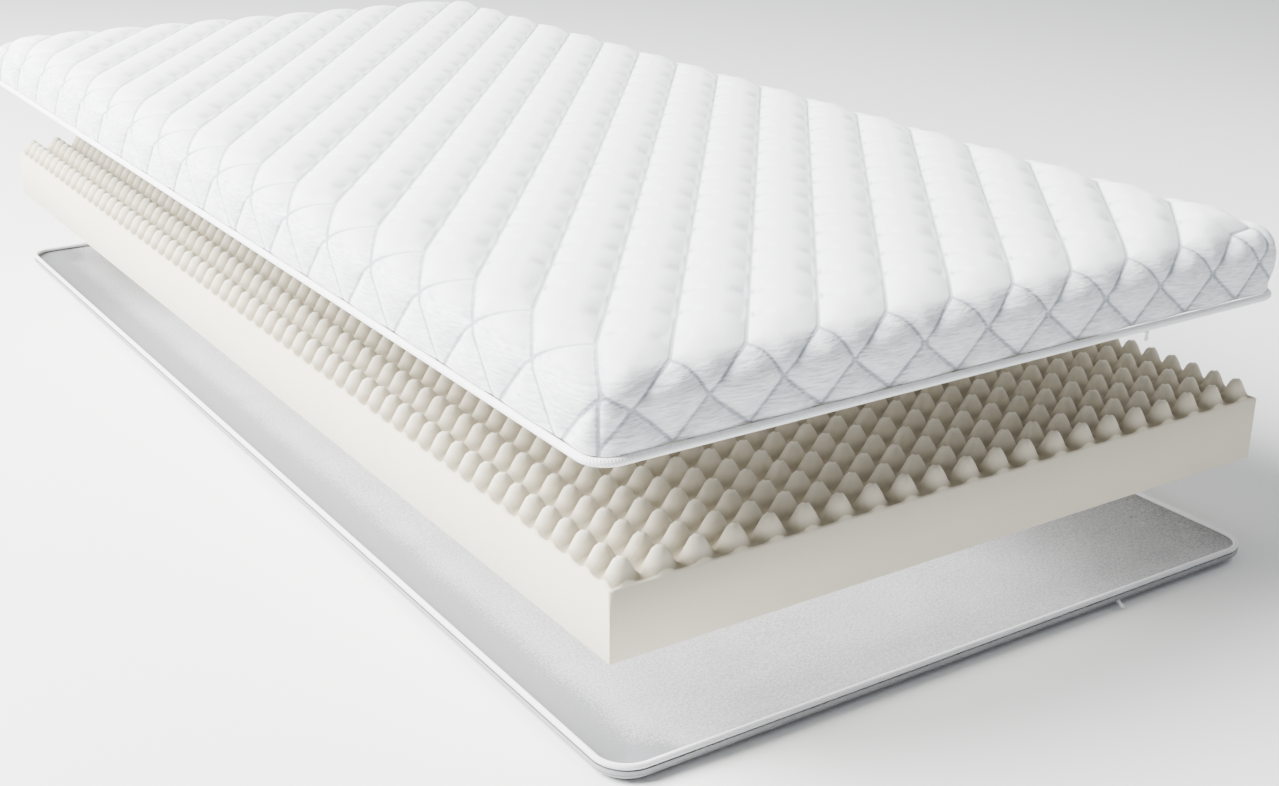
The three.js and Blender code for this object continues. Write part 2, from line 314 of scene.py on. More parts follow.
def quilt_material():
    """White knitted cloth. Fine ribs run level round the walls, a thread lies in each seam in short
    stitches, thin folds leave the channels' back seams at right angles, and soft dents lie beside
    their front ones. The pattern gives the side, 1 at a channel's front seam and -1 at its back
    one, and the distance away from the nearest seam."""
    shop = Shop("quilted_knit")
    side, away = shop.pattern()
    x, y, z = shop.place()
    along = x * 0.596 + y * 0.803                     # the way along the channels
    flat = z.between(400 * MM, 410 * MM)
    wall = 1.0 - flat
    long_wall = x.absolute().between(435 * MM, 450 * MM) * wall
    front, back = side.between(0.0, 0.3), (0.0 - side).between(0.0, 0.3)
    ribs = shop.noise(1.0, 2.0, 0.6, shop.stretched(60, 60, 360))
    knit = shop.noise(520.0, 1.0)
    soft = shop.noise(24.0, 2.0)
    # the seams
    stitch = (along * (tau / (5.2 * MM)) + z * (tau / (3.4 * MM))).swing() ** 0.7
    thread = away.fading(0.4 * MM, 1.6 * MM)
    seam = away.fading(0.4 * MM, 3.2 * MM)
    # painted shade: the cloth is drawn darker within 12 mm of every seam, where its groove falls
    # into shade
    painted_seam_shade = away.fading(0.0, 12 * MM) ** 2.0
    # the puckers, about 74 mm apart
    wave = along * (tau / (74 * MM)) + shop.noise(7.0, 1.0) * 4.0
    fold = wave.swing() ** 7.0 * away.fading(12 * MM, 28 * MM) * back
    # painted shade: the 30 mm of a channel beside its front seam are drawn darker, as on a slope
    # turned from the light
    near = away.fading(0.0, 30 * MM) * front
    patch = shop.noise(15.0, 1.0).between(0.3, 0.7) * 0.5 + 0.5
    dent = (wave + wave.sine() * 0.7).swing() ** 1.5 * front
    dent = dent * away.fading(2 * MM, 27 * MM) * patch
    gather = (fold * 2.6 + dent * 3.7) * flat * away.between(0.0, 6 * MM)
    height = (
        ribs * 1.5 * wall + knit * 0.2 + soft * 0.7 - gather + thread * stitch * 0.2 - seam * 0.6
    )
    # painted shade in the colour: the seams darker still on the long walls, the ribs' offset that
    # darkens every wall against the top, and the dents and folds on the top drawn darker; the
    # thread's grey, the ribs' pattern and the knit's flecks are the cloth's own
    shade = (
        seam * (long_wall * 0.3 + 0.60) + painted_seam_shade * 0.09 + (knit - 0.5) * 0.06
        + (ribs - 0.33) * wall * 1.5 + (near * 0.09 + dent * 0.16 + fold * 0.10) * flat + 0.01
    )
    tint = shop.mix(shade.held(), colour(0.905, 0.912, 0.925), colour(0.36, 0.39, 0.43))
    return shop.cloth(tint, 0.86, height, 1 * MM, 0.12)


def piping_material(name, base, dark, pitch):
    """A woven cord: fine threads wound round it at a slant, crossed by weaker, steeper ones."""
    shop = Shop(name)
    along, around = shop.pattern()
    turn = along * (tau / pitch)
    slant = (turn + around * (tau * 2)).swing()
    cross = (turn - around * (tau * 6)).swing()
    weave = slant * 0.65 + cross * 0.35
    fluff = shop.noise(900.0, 2.0)
    tint = shop.mix((1.0 - weave) * 0.45 + (fluff - 0.5) * 0.3, base, dark)
    return shop.cloth(tint, 0.8, weave * 0.7 + fluff * 0.5, 0.7 * MM, 0.15)


def foam_material():
    """Cut foam: very fine open cells and a warm, slightly mottled tone. Light is painted on the
    tips and shade deep down between the peaks, where the pattern's first coordinate falls to 0."""
    shop = Shop("cut_foam")
    rise = shop.pattern()[0]
    cells = shop.noise(1100.0, 2.0, 0.6)
    uneven = shop.noise(180.0, 2.0)
    cloud = shop.noise(9.0, 3.0).between(0.35, 0.7)
    warm = shop.mix(cloud * 0.6, colour(0.625, 0.57, 0.45), colour(0.58, 0.53, 0.415))
    # painted light: the tips, and the cut sides, paler
    pale = shop.mix(rise.between(0.6, 1.0) * 0.35, warm, colour(0.70, 0.655, 0.54))
    # painted shade: dark brown deep down between the peaks
    tint = shop.mix(rise.fading(0.0, 0.6) * 0.78, pale, colour(0.22, 0.185, 0.12))
    return shop.cloth(tint, 0.92, cells * 0.5 + uneven * 0.3, 0.4 * MM, 0.05)


def bottom_material():
    """Thin grey cloth with a felt-like, mottled grain, and a row of fine stitches on the welt. It
    is darker inside the rim, and painted shade darkens it further on the rim's slope along the left
    side. The pattern gives the way along the rim, and a distance away: outside, from the welt, and
    inside, from the outline, with FAR added."""
    shop = Shop("bottom_felt")
    along, away = shop.pattern()
    x = shop.place()[0]
    grain = shop.noise(360.0, 3.0, 0.65)
    fibre = shop.noise(1.0, 2.0, 0.6, shop.stretched(600, 260, 400))
    cloud = shop.noise(14.0, 3.0)
    stitch = (along * (tau / (4.5 * MM))).swing() * away.fading(0.3 * MM, 1.2 * MM)
    height = grain * 0.9 + fibre * 0.5 + cloud * 0.5 + stitch * 0.4
    inside = away.between(40 * MM, 50 * MM)
    # painted shade: the rim's inner slope along the left side only, as if turned from the light
    slope = inside * away.fading(70 * MM, 150 * MM) * (0.0 - x).between(340 * MM, 400 * MM)
    shade = (
        ((grain - 0.5) * 1.3 + (fibre - 0.5) * 1.1) * (inside * 0.8 + 0.2) + (cloud - 0.5) * 0.3
        + inside * 0.13 + slope * 0.9 + 0.37 + away.fading(0.6 * MM, 2.2 * MM) * 0.3
    )
    tint = shop.mix(shade.held(), colour(0.45, 0.452, 0.46), colour(0.14, 0.143, 0.152))
    return shop.cloth(tint, 0.9, height, 0.8 * MM, 0.1)


def pull_material():
    """Moulded pull: satin, with the faintest grain."""
    shop = Shop("pull_moulding")
    grain = shop.noise(700.0, 1.0)
    tint = shop.mix(grain * 0.3, colour(0.78, 0.79, 0.81), colour(0.66, 0.67, 0.70))
    return shop.cloth(tint, 0.42, grain, 0.1 * MM)


# ---------------------------------------------------------------- quilted cover

COVER_MID = np.array([0.0, 10.5]) * MM
COVER_HALF = np.array([459.5, 1006.5]) * MM   # half its width and length, over the seams
COVER_TOP, COVER_BOTTOM, COVER_BEND = 411 * MM, 337 * MM, 384 * MM
COVER_INSET = np.array([50.0, 22.0]) * MM     # from the left and the short walls to the top panel
COVER_INSET_RIGHT = 26 * MM                   # from the right wall, which bends over more tightly
COVER_CORNER = 24 * MM
PUFF, PUFF_REACH = 8.4 * MM, 33 * MM          # padding's full height, and how far from a seam
PUFF_POWER = 2.3
HEM_SHARE, HEM_ROWS = 0.25, 4                 # padding left at the lower edge, full four rows up
LINING = 6 * MM                               # from the seams in to the lining
LINING_ROWS = np.array([0, 4, 8, 11, 14, 17, 20, 23])

FINE = 6                                      # columns of points in a quarter of a quilting pitch
WHOLE, HALF = 4 * FINE, 2 * FINE              # and in a whole pitch and half of one
PITCH_ACROSS, PITCH_ALONG = 85.0 * MM, 115.03 * MM
STRAIGHT_ROWS, BEND_ROWS = 11, 12
ROWS = STRAIGHT_ROWS + BEND_ROWS
TOP_STEPS, TOP_EVEN = 84, 0.35                # steps along a strip of the top, and their evenness
EASINGS = 5                                   # rounds that smooth the padding of the edge
WALLS = ("front", "right", "back", "left")
QUARTERS = {"front": 44, "right": 70, "back": 43, "left": 70}
# where the channels' ends lie on the walls
FRONT_EVEN = 10                               # pitches, with the rest in the eleventh
BACK_QUARTER = 21.2 * MM                      # a quarter of the back wall's pitch
RIGHT_START, BACK_END, LEFT_END = 3 * MM, 6 * MM, 22 * MM
TOP_SHIFT = (7.4 * MM, 0, 9 * MM, 0)          # how far each wall's ends are moved on the top
# the strips of the top panel, in quarters of a pitch from the front left corner; those past the
# turn end on the back wall
FIRST_STRIP, TURN_STRIP, LAST_STRIP = -39, 31, 70


def section(row):
    """The base section of the edge at a row: straight up, then a quarter ellipse onto the top.
    Returns the share of the inset and the height."""
    row = np.asarray(row, float)
    turn = np.clip((row - STRAIGHT_ROWS) / BEND_ROWS, 0, 1) * (pi / 2)
    rise = np.clip(row / STRAIGHT_ROWS, 0, 1)
    straight = COVER_BOTTOM + (COVER_BEND - COVER_BOTTOM) * rise
    return 1 - np.cos(turn), straight + (COVER_TOP - COVER_BEND) * np.sin(turn)


def round_off(flat, half, radius):
    """Draws the square corners of a rectangle onto quarter circles: a point whose larger distance
    past the circle's centre is d ends at the distance d from it."""
    past = np.abs(flat) - (half - radius)
    inside = (past > 0).all(axis=-1)
    pull = past.max(axis=-1) / np.maximum(np.hypot(past[..., 0], past[..., 1]), 1e-9)
    moved = np.sign(flat) * (half - radius + past * pull[..., None])
    return np.where(inside[..., None], moved, flat)


def on_rectangle(place, size):
    """The point at a distance round a rectangle from its front left corner."""
    x, y = size
    stops = np.cumsum([0, x, y, x, y])
    place = np.mod(place, stops[-1])
    px = np.interp(place, stops, [-x / 2, x / 2, x / 2, -x / 2, -x / 2])
    py = np.interp(place, stops, [-y / 2, -y / 2, y / 2, y / 2, -y / 2])
    return np.stack([px, py], axis=-1)


class CoverEdge:
    """The unpadded edge of the cover. Columns run round it from the front left corner, each from
    its place on the lower edge to its place on the top panel; rows run up the section."""

    def __init__(self):
        wider = COVER_INSET[0] - COVER_INSET_RIGHT
        inner = 2 * (COVER_HALF - COVER_INSET) + (wider, 0)
        outer = 2 * COVER_HALF
        self.count = {wall: QUARTERS[wall] * FINE for wall in WALLS}
        self.first = dict(zip(WALLS, np.cumsum([0] + [self.count[w] for w in WALLS])))
        self.columns = sum(self.count.values())
        # the channels' ends set where the columns meet each side, measured from its first corner
        quarter = {wall: np.arange(self.count[wall]) / FINE for wall in WALLS}
        front = np.interp(
            quarter["front"], [0, 4 * FRONT_EVEN, QUARTERS["front"]],
            [0, FRONT_EVEN * PITCH_ACROSS, outer[0]],
        )
        right = quarter["right"] * PITCH_ALONG / 4 - RIGHT_START
        back = outer[0] - ((QUARTERS["back"] - quarter["back"]) * BACK_QUARTER + BACK_END)
        left = outer[1] - ((QUARTERS["left"] - quarter["left"]) * PITCH_ALONG / 4 + LEFT_END)
        known, value, lower = [], [], []
        begin_inner = begin_outer = 0.0
        for wall, run, shift in zip(WALLS, (front, right, back, left), TOP_SHIFT):
            side = 0 if wall in ("front", "back") else 1
            place = run + shift - (COVER_INSET_RIGHT if wall == "back" else COVER_INSET[side])
            inside = (place > 0) & (place < inner[side])
            known.append(self.first[wall] + np.flatnonzero(inside))
            value.append(begin_inner + place[inside])
            along = front if wall == "front" else quarter[wall] / QUARTERS[wall] * outer[side]
            flat = on_rectangle(begin_outer + along, outer)
            lower.append(round_off(flat, COVER_HALF, COVER_CORNER))
            begin_inner += inner[side]
            begin_outer += outer[side]
        # columns that would fall past a corner share out the distance that is left
        known, value = np.concatenate(known), np.concatenate(value)
        known = np.concatenate([known - self.columns, known, known + self.columns])
        value = np.concatenate([value - begin_inner, value, value + begin_inner])
        self.upper = on_rectangle(np.interp(np.arange(self.columns + 1), known, value), inner)
        self.upper[:, 0] += wider / 2
        self.lower = np.concatenate(lower + [lower[0][:1]])

    def at(self, column, row):
        """Points at fractional columns and rows: straight lines between the columns' two ends."""
        column = np.mod(np.asarray(column, float), self.columns)
        k = np.floor(column).astype(int)
        t = (column - k)[..., None]
        low = (1 - t) * self.lower[k] + t * self.lower[k + 1]
        high = (1 - t) * self.upper[k] + t * self.upper[k + 1]
        share, height = section(row)
        flat = low + np.broadcast_to(share, column.shape)[..., None] * (high - low)
        z = np.broadcast_to(height, column.shape)[..., None]
        return np.concatenate([flat, z], axis=-1)

    def path(self, wall, rows, columns):
        """A stitched line on a wall through a few rows and columns, as fine rows and columns. It is
        smooth over the distance up the section, in which the bend of a short wall counts for less;
        what runs past the wall's ends is left out."""
        fine = np.linspace(0, ROWS, ROWS * PATH_STEPS + 1)
        share, height = section(fine)
        if wall in ("front", "back"):
            up = height + SHORT_BEND * COVER_INSET[1] * share
        else:
            step = np.hypot(np.diff(height), np.diff(share) * COVER_INSET[0])
            up = np.concatenate([[0], np.cumsum(step)])
        reach, column = smooth_line(np.interp(rows, fine, up), columns)
        row = np.interp(reach, up, fine)
        kept = (column > -PATH_SLACK) & (column < self.count[wall] + PATH_SLACK)
        return row[kept], self.first[wall] + np.clip(column[kept], 0, self.count[wall])


def smooth_line(places, values, steps=24):
    """A line through a few (place, value) pairs: cubic pieces with no overshoot."""
    order = np.argsort(places)
    places, values = np.asarray(places, float)[order], np.asarray(values, float)[order]
    slope = np.diff(values) / np.diff(places)
    both = slope[:-1] * slope[1:]
    inner = np.where(both > 0, 2 * both / (slope[:-1] + slope[1:] + 1e-12), 0)
    ends = np.concatenate([[slope[0]], inner, [slope[-1]]])
    fine = np.linspace(places[0], places[-1], steps * (len(places) - 1) + 1)
    k = np.clip(np.searchsorted(places, fine, side="right") - 1, 0, len(places) - 2)
    gap = places[k + 1] - places[k]
    t = (fine - places[k]) / gap
    value = (
        (2 * t**3 - 3 * t**2 + 1) * values[k] + (t**3 - 2 * t**2 + t) * gap * ends[k]
        + (-2 * t**3 + 3 * t**2) * values[k + 1] + (t**3 - t**2) * gap * ends[k + 1]
    )
    return fine, value


PATH_STEPS, PATH_SLACK = 8, 0.3                      # steps a row, and columns past a wall's end
SHORT_BEND = 0.35
LONG_ROWS, SHORT_ROWS = (23, 14.2, 0), (23, 9.4, 0)  # channel's end, crossing, lower edge
ARCH_ROWS = (23, 18.5, 9.4, 0)                       # the same with a point on the arch
FIRST_ROWS = (15, 13.1, 9.4, 0)                      # of the line from the front left corner
# columns from a channel's end to a line's other points, forwards and backwards
FIRST_REACH, ARCH_REACH = 5, (4.2, -4.8)
LONG_REACH = (HALF, 21), (-HALF, -WHOLE)
SHORT_REACH = (11, WHOLE), (-13, -WHOLE)
CORNER_ROW, CORNER_STEPS = 15, 30                    # how high the upright corner seams go
STEEP, FLAT = 1.1, 0.9                               # columns a row: steep up to, flat from
SEAM_REACH, SEAM_BLOCKS = 40 * MM, 120
SEAM_STRIDE = 3                                      # every third point of a line is enough
EDGE_LOSS, EDGE_REACH = 0.25, 45 * MM                # padding lost towards the top's edge
DROOP, DROOP_REACH = 11 * MM, 70 * MM                # how the top falls off to the short walls
SWELL, SWELL_REACH, SWELL_END = 7 * MM, 260 * MM, 450 * MM
TALLER, TALLER_END = 1 * MM, 5 * MM                  # padding by the right wall, and at its end
SIDE_START, SIDE_FADE = 8 * MM, 80 * MM              # where puckers start, from a strip's end


def seam_paths(edge):
    """All stitched lines of the edge, as rows and columns. On each wall one line carries a channel
    on and another leans the other way; they cross half a pitch further on."""
    paths = []

    def stitch(wall, rows, *columns):
        paths.append(edge.path(wall, rows, columns))

    def crossing(k):
        """Columns from the front wall's channel k to its crossing."""
        return 10 if k < 4 else 11

    def foot(k):
        """The column in which a line meets the front wall's lower edge."""
        return WHOLE * k - (1 if k < 5 else 0)

    stitch("front", FIRST_ROWS, 0, FIRST_REACH, crossing(0) + 1, foot(1))
    for k in range(1, 12):
        top, before = WHOLE * k, WHOLE * (k - 1)
        stitch("front", ARCH_ROWS, top, top + ARCH_REACH[0], top + crossing(k), foot(k + 1))
        stitch("front", ARCH_ROWS, top, top + ARCH_REACH[1], before + crossing(k - 1), foot(k - 1))
    for k in range(-2, 19):
        ends = ("left", edge.count["left"] - WHOLE * k - HALF), ("right", WHOLE * k + FINE)
        for wall, top in ends:
            for middle, low in LONG_REACH:
                stitch(wall, LONG_ROWS, top, top + middle, top + low)
    for k in range(-1, 12):
        top = edge.count["back"] - WHOLE * k - FINE
        for middle, low in SHORT_REACH:
            stitch("back", SHORT_ROWS, top, top + middle, top + low)
    for wall in WALLS:
        row = np.linspace(0, CORNER_ROW, CORNER_STEPS)
        paths.append((row, np.full(len(row), float(edge.first[wall]))))
    return [(row, column) for row, column in paths if len(row) > 3]


def seam_points(paths):
    """The grid point that each line passes nearest to: in every row where the line is steep, and
    in every column where it is flat. Returns the grid's row and column and the line's own."""
    found = []

    def whole(low, high):
        return np.arange(np.ceil(low - 1e-6), np.floor(high + 1e-6) + 1)

    for row, column in paths:
        lean = np.abs(np.gradient(column, row))
        rows = whole(row[0], row[-1])
        steep = np.interp(rows, row, lean) <= STEEP
        across = np.interp(rows, row, column)
        found.append(np.stack([rows, np.round(across), rows, across])[:, steep])
        order = np.argsort(column)
        if column[order[-1]] - column[order[0]] > 1:
            columns = whole(column[order[0]], column[order[-1]])
            flat = np.interp(columns, column[order], lean[order]) > FLAT
            up = np.interp(columns, column[order], row[order])
            near = np.where(up > ROWS - 0.01, ROWS, np.minimum(np.round(up), ROWS - 1))
            found.append(np.stack([near, columns, up, columns])[:, flat])
    return np.concatenate(found, axis=1)


def nearest_seam(points, lines):
    """For every point, the distance to the nearest stitched line. Each line is a chain of
    segments; a segment's nearest point is the foot of the perpendicular, held between its ends."""
    starts = np.concatenate([line[:-1] for line in lines])
    ends = np.concatenate([line[1:] for line in lines])
    way = ends - starts
    size = np.maximum(np.linalg.norm(way, axis=1), 1e-9)
    way = way / size[:, None]
    away = np.empty(len(points))
    # blocks of points with nearly the same Y, each against the segments near it
    low, high = np.minimum(starts[:, 1], ends[:, 1]), np.maximum(starts[:, 1], ends[:, 1])
    for chosen in np.array_split(np.argsort(points[:, 1]), SEAM_BLOCKS):
        block = points[chosen]
        front, back = block[:, 1].min() - SEAM_REACH, block[:, 1].max() + SEAM_REACH
        near = np.flatnonzero((high > front) & (low < back))
        offset = block[:, None] - starts[None, near]
        foot = np.clip(np.einsum("ijk,jk->ij", offset, way[near]), 0, size[None, near])
        gap = np.linalg.norm(offset - foot[..., None] * way[None, near], axis=2)
        away[chosen] = gap.min(axis=1)
    return away


def edge_share(points):
    """The padding's share over the top panel: it falls, as the square of the way over the last
    45 mm, by a quarter."""
    room = (COVER_HALF - COVER_INSET) - np.abs(points[..., :2])
    right = COVER_HALF[0] - COVER_INSET_RIGHT - points[..., 0]
    room[..., 0] = np.where(points[..., 0] > 0, right, room[..., 0])
    ease = np.clip(1 - room / EDGE_REACH, 0, 1) ** 2
    return 1 - EDGE_LOSS * ease.max(axis=-1)


def tallness(points):
    """0 at the cover's lower edge and 1 at its top."""
    return np.clip((points[..., 2] - COVER_BOTTOM) / (COVER_TOP - COVER_BOTTOM), 0, 1)


def droop(points):
    """The top falls off to the short walls: by the square of the way over the last 70 mm, and by
    the cube of the height, so that the lower edge stays."""
    way = np.clip(1 - (COVER_HALF[1] - np.abs(points[..., 1])) / DROOP_REACH, 0, 1) ** 2
    lower = points.copy()
    lower[..., 2] -= DROOP * way * tallness(points) ** 3
    return lower


def swollen(points, share):
    """The right wall bulges by 7 mm at half its height, as a sine to the power 0.8, and the bulge
    falls off inwards as the eighth power of the way over 260 mm. On the same way the full padding
    rises by 1 mm, and over the last 450 mm to the front wall by 6 mm, with the cube of the
    height."""
    beside = np.clip(1 - (COVER_HALF[0] - points[..., 0]) / SWELL_REACH, 0, 1)
    end = np.clip(1 - (points[..., 1] + COVER_HALF[1]) / SWELL_END, 0, 1)
    tall = tallness(points)
    moved = points.copy()
    moved[..., 0] += SWELL * np.sin(pi * tall) ** 0.8 * beside**8
    moved[..., 2] += share * beside * tall**3 * (TALLER + TALLER_END * end)
    return moved


def padding(away):
    """Height of the padding: steep beside a seam and level half a pitch from it."""
    share = np.clip(away / PUFF_REACH, 0, 1)
    return PUFF * (1 - (1 - share) ** PUFF_POWER)


def eased(height, sewn):
    """Padding heights on the edge's grid, each drawn halfway to the mean of its four neighbours a
    few times over. Sewn points stay down, and the top row stays as it is."""
    for _ in range(EASINGS):
        around = np.roll(height, 1, axis=1) + np.roll(height, -1, axis=1)
        above, below = np.vstack([height[1:], height[-1:]]), np.vstack([height[:1], height[:-1]])
        softer = 0.5 * height + 0.125 * (around + above + below)
        height[:-1] = np.where(sewn, 0, softer)[:-1]
    return height


def outwards(base):
    """Directions square to the edge's grid: across its columns and up its rows, and straight up in
    its top row."""
    across = np.roll(base, -1, axis=1) - np.roll(base, 1, axis=1)
    out = np.cross(across, np.gradient(base, axis=0))
    out /= np.maximum(np.linalg.norm(out, axis=2, keepdims=True), 1e-12)
    out[-1] = (0, 0, 1)
    return out


def add_lining(skin, edge, row, column, ring, centre):
    """The inside: the plain edge without its padding, a little inside the seams, closed on top and
    joined to the lower edge."""
    inner = edge.at(column[LINING_ROWS], row[LINING_ROWS])
    inner[..., :2] *= (COVER_HALF - LINING) / COVER_HALF
    shrink = 1 - LINING / (COVER_TOP - COVER_BOTTOM)
    inner[..., 2] = COVER_BOTTOM + (inner[..., 2] - COVER_BOTTOM) * shrink
    inside = skin.add(droop(inner) + centre)
    skin.quads(wrapped(inside), np.full((len(inside), edge.columns + 1, 2), FAR), out=False)
    skin.fan(inside[-1], np.full((edge.columns, 2), FAR), out=False)
    hem_edge = wrapped(np.array([ring[0], inside[0]]))
    skin.quads(hem_edge, np.full((*hem_edge.shape, 2), FAR), out=False)


def quilted_cover():
    """The cover: its top panel is a set of straight strips beside the channels, joined to the
    edge's grid, and the inside is a plain lining a padding's thickness away."""
    skin = Surface()
    edge = CoverEdge()
    columns, first = edge.columns, edge.first
    row, column = np.meshgrid(np.arange(ROWS + 1), np.arange(columns), indexing="ij")
    base = edge.at(column, row)
    # grid points beside a seam move onto it
    paths = seam_paths(edge)
    near_row, near_column, seam_row, seam_column = seam_points(paths)
    near = near_row.astype(int), near_column.astype(int) % columns
    base[near] = edge.at(seam_column, seam_row)
    sewn = np.zeros(base.shape[:2], bool)
    sewn[near] = True
    # the strips' two ends, as columns: a strip m starts on the left wall, or below 0 on the front
    # one, and ends on the right wall, or past the turn on the back one
    m = np.arange(FIRST_STRIP * FINE, LAST_STRIP * FINE + 1)
    start = np.where(m >= 0, columns - m, HALF - m) % columns
    end = np.where(
        m <= TURN_STRIP * FINE, first["right"] + m - FIRST_STRIP * FINE,
        first["left"] - ((LAST_STRIP + 1) * FINE - m),
    )
    # steps along a strip, closer together towards its ends
    t = np.linspace(0, 1, TOP_STEPS + 1)
    t = TOP_EVEN * t + (1 - TOP_EVEN) * (1 - np.cos(pi * t)) / 2
    ends = base[-1][start][:, None], base[-1][end][:, None]
    panel = ends[0] + t[None, :, None] * (ends[1] - ends[0])
    # the distance of every point from the nearest seam
    channel = np.flatnonzero(m % WHOLE == HALF)
    lines = [edge.at(c, r)[::SEAM_STRIDE] for r, c in paths]
    lines += [panel[k, [0, -1]] for k in channel]
    edge_away = nearest_seam(base.reshape(-1, 3), lines).reshape(base.shape[:2])
    edge_away[sewn] = 0
    panel_away = nearest_seam(panel.reshape(-1, 3), lines).reshape(panel.shape[:2])
    # the padding: less of it at the lower edge, and up the last rows as little as on the panel
    rows = np.arange(ROWS + 1)[:, None]
    hem = HEM_SHARE + (1 - HEM_SHARE) * np.clip(rows / HEM_ROWS, 0, 1) ** 0.5
    last = np.clip((rows - (ROWS - BEND_ROWS / 2)) / (BEND_ROWS / 2), 0, 1)
    height = eased(padding(edge_away), sewn)
    puffed = height * hem * (1 - last * (1 - edge_share(base[-1])))
    padded = swollen(base + outwards(base) * puffed[..., None], height / PUFF)
    thick = padding(panel_away)
    panel[..., 2] += thick * edge_share(panel)
    panel = swollen(panel, thick / PUFF)
    panel[:, 0], panel[:, -1] = padded[-1][start], padded[-1][end]
    centre = np.array([*COVER_MID, 0])
    ring = skin.add(droop(padded) + centre)
    marks = np.stack([0 * edge_away, edge_away], axis=2)
    closed = wrapped(sewn)
    rising = closed[:-1, :-1] & closed[1:, 1:]
    falling = closed[:-1, 1:] & closed[1:, :-1]
    skin.quads(wrapped(ring), wrapped(marks), turn=falling & ~rising)
    # which side of a channel: 1 near its front seam, -1 near its back one, and 0 round the edge
    length = np.linalg.norm(panel[:, -1] - panel[:, 0], axis=1)
    room = np.minimum(t, 1 - t)[None, :] * length[:, None]
    fade = np.clip((room - SIDE_START) / SIDE_FADE, 0, 1) ** 1.5
    side = np.sin((m - HALF) * (tau / WHOLE))[:, None] * fade
    skin.quads(skin.add(droop(panel) + centre), np.stack([side, panel_away], axis=2))
    # the small corner pieces between the last strips and the corner columns
    for low, high in ((0, HALF + 1), (start[0], end[0]),
                      (first["back"], first["back"] + 3 * FINE + 1), (end[-1], start[-1])):
        numbers = np.arange(low, high + 1) % columns
        skin.fan(ring[-1][numbers], marks[-1][numbers])
    add_lining(skin, edge, row, column, ring, centre)
    return skin


# ---------------------------------------------------------------- foam core

CORE_MIN = np.array([-447.0, -998.5, 129.0]) * MM
CORE_SIZE = np.array([900.0, 2000.0]) * MM
CORE_CELLS, CELL_STEPS = (21, 63), 8
CORE_VALLEY, CORE_TIP = 77 * MM, 100 * MM
TIP_REACH = 0.18                              # the tip's flat part, as a share of the way
CORE_EASE = 1.5 * MM                          # how far the cut edge is eased
CORE_LOOP = 40 * MM                           # height of the loop of points half up the sides


def border(grid):
    """The outermost values of a grid, walked once round it."""
    return np.concatenate([grid[0, :-1], grid[:-1, -1], grid[-1, :0:-1], grid[:0:-1, 0]])


def foam_core():
    """The core: round peaks on a grid. With the distance from a cell's middle as a share of the way
    to its sides, the height falls smoothly from the tip at 0.18 to the valley at 1, as one less the
    cube step 3 s^2 - 2 s^3. The cut edge is eased by 1.5 mm."""
    skin = Surface()
    nx, ny = (cells * CELL_STEPS for cells in CORE_CELLS)
    u = np.abs((np.arange(nx + 1) / CELL_STEPS) % 1 - 0.5) * 2
    v = np.abs((np.arange(ny + 1) / CELL_STEPS) % 1 - 0.5) * 2
    step = np.clip((np.hypot(*np.meshgrid(u, v)) - TIP_REACH) / (1 - TIP_REACH), 0, 1)
    rise = 1 - step**2 * (3 - 2 * step)
    height = CORE_VALLEY + (CORE_TIP - CORE_VALLEY) * rise
    x = np.linspace(0, CORE_SIZE[0], nx + 1)
    y = np.linspace(0, CORE_SIZE[1], ny + 1)
    flat = np.stack(np.meshgrid(x, y), axis=2)
    inner = np.clip(flat, CORE_EASE, CORE_SIZE - CORE_EASE)
    top = np.concatenate([inner, height[..., None]], axis=2) + CORE_MIN
    numbers = skin.add(top)
    rise[[0, -1]] = rise[:, [0, -1]] = 1      # the cut edge takes the tips' painted light and none of the valleys' painted shade
    skin.quads(numbers, np.stack([rise, rise], axis=2))
    # the sides, as loops of points from the top's border down to the underside
    edge = border(flat) + CORE_MIN[:2]
    level = np.ones(len(edge))
    loops = [border(numbers)]
    for z in (border(top[..., 2]) - CORE_EASE, level * (CORE_MIN[2] + CORE_LOOP),
              level * (CORE_MIN[2] + CORE_EASE)):
        loops.append(skin.add(np.column_stack([edge, z])))
    middle = CORE_MIN[:2] + CORE_SIZE / 2
    under = middle + (edge - middle) * (1 - CORE_EASE / (CORE_SIZE / 2))
    loops.append(skin.add(np.column_stack([under, level * CORE_MIN[2]])))
    sides = wrapped(np.array(loops))
    # the sides, at 1, take the tips' painted light and none of the valleys' painted shade
    skin.quads(sides, np.ones((*sides.shape, 2)), out=False)
    skin.fan(loops[-1], np.ones((len(loops[-1]), 2)), out=False)
    return skin


# ---------------------------------------------------------------- bottom cloth

CLOTH_MID = np.array([8.0, -4.5]) * MM
CLOTH_HALF = np.array([459.0, 1009.0]) * MM
CLOTH_RIM, CLOTH_CORNER, CLOTH_THICK = 14 * MM, 40 * MM, 2.5 * MM
CLOTH_SPANS, CLOTH_TURNS = (90, 200), 14      # steps along the straight parts and in a corner
RIM_TURNS = 13                                # points up the rim's quarter circle
WELT_HEIGHT, WELT_WIDTH, WELT_OUT = 8.5 * MM, 1.5 * MM, 0.8 * MM
SLOPE_REACH, SLOPE_POWER = 58 * MM, 1.45      # how the rim falls to the floor inside
CALM_START, CALM_REACH = 30 * MM, 60 * MM     # where the floor's unevenness sets in
UNEVEN = 0.7 * MM
FLOOR_INSETS = np.array([25, 38, 40, 45, 52, 70, 100, 140, 190, 250, 320, 390, 459]) * MM
SLOPE_INSETS = np.array(
    [2.5, 4, 6, 8.5, 11, 14, 17, 20, 24, 28, 32, 36, 40, 44, 48, 52, 55, 58, 62]
) * MM


